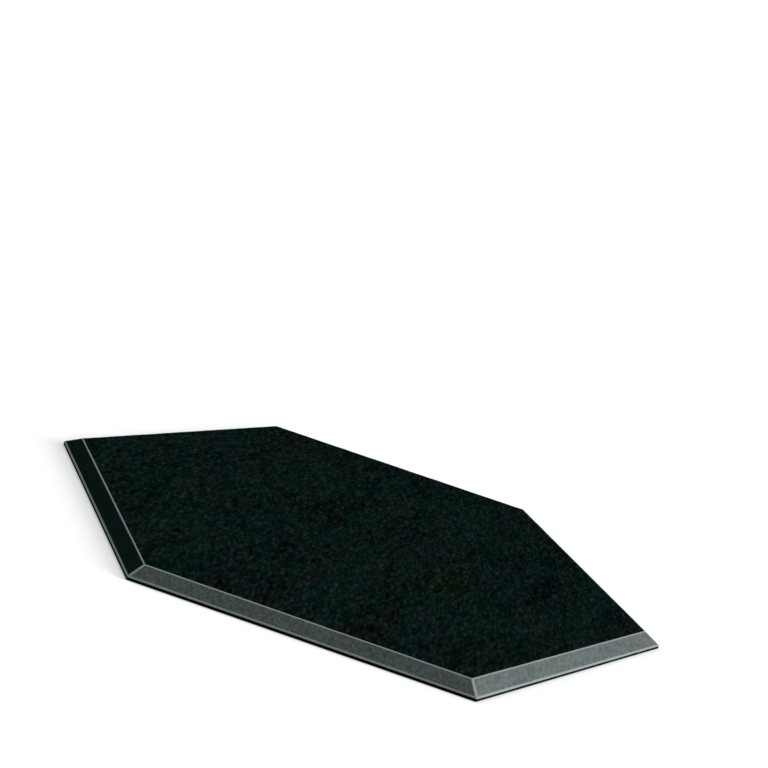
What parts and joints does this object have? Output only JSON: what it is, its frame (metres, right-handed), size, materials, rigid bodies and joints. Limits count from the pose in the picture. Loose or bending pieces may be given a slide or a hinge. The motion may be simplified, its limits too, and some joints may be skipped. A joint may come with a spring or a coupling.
{
  "type": "hexagonal acoustic panel",
  "caption": "Flat hexagonal sound-absorbing wall panel of dark pressed felt board, with bevelled edges and a plain back.",
  "frame": {"origin": "centre of the flat back face, which lies on the XY plane", "axes": "+Z out of the bevelled front face, X through two opposite corners, Y square to two opposite edges"},
  "size_m": [0.3554, 0.308, 0.007],
  "materials": {
    "felt": "matte pressed felt"
  },
  "bodies": {
    "root": {"felt_panel": "felt"}
  },
  "joints": []
}
